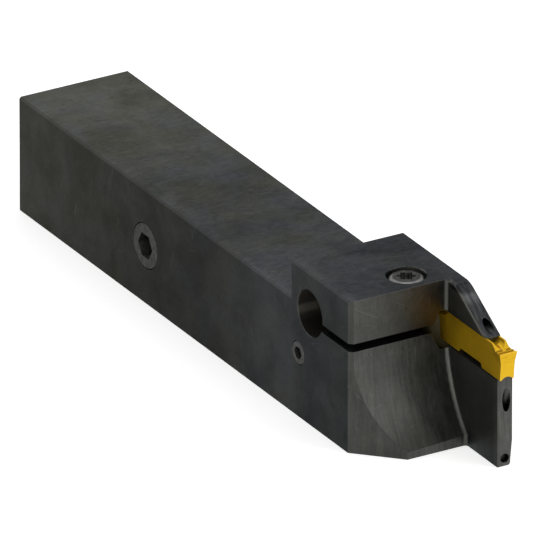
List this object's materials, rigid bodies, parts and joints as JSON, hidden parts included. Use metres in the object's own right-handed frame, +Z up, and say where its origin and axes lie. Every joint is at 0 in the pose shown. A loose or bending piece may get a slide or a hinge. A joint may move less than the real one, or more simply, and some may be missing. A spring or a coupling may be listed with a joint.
{
  "type": "grooving tool holder",
  "caption": "Square shank lathe tool holder with a slotted clamping head, a supporting blade and a clamped two-ended grooving insert.",
  "frame": {"origin": "on the bottom face of the shank, at its rear end, in the middle of its width", "axes": "+X forward along the shank to the cutting edge, +Y to the side that carries the blade, +Z up"},
  "size_m": [0.1526, 0.0257, 0.033],
  "materials": {
    "blackened_steel": "ground and blackened tool steel",
    "coated_carbide": "gold-coloured coating on pressed and ground carbide",
    "bright_steel": "turned bright steel",
    "plug_steel": "dark steel plug"
  },
  "bodies": {
    "root": {"holder_body": "blackened_steel", "insert": "coated_carbide", "clamp_screw": "bright_steel", "side_plug": "plug_steel", "channel_plug": "plug_steel", "blade_plug": "plug_steel"}
  },
  "joints": []
}
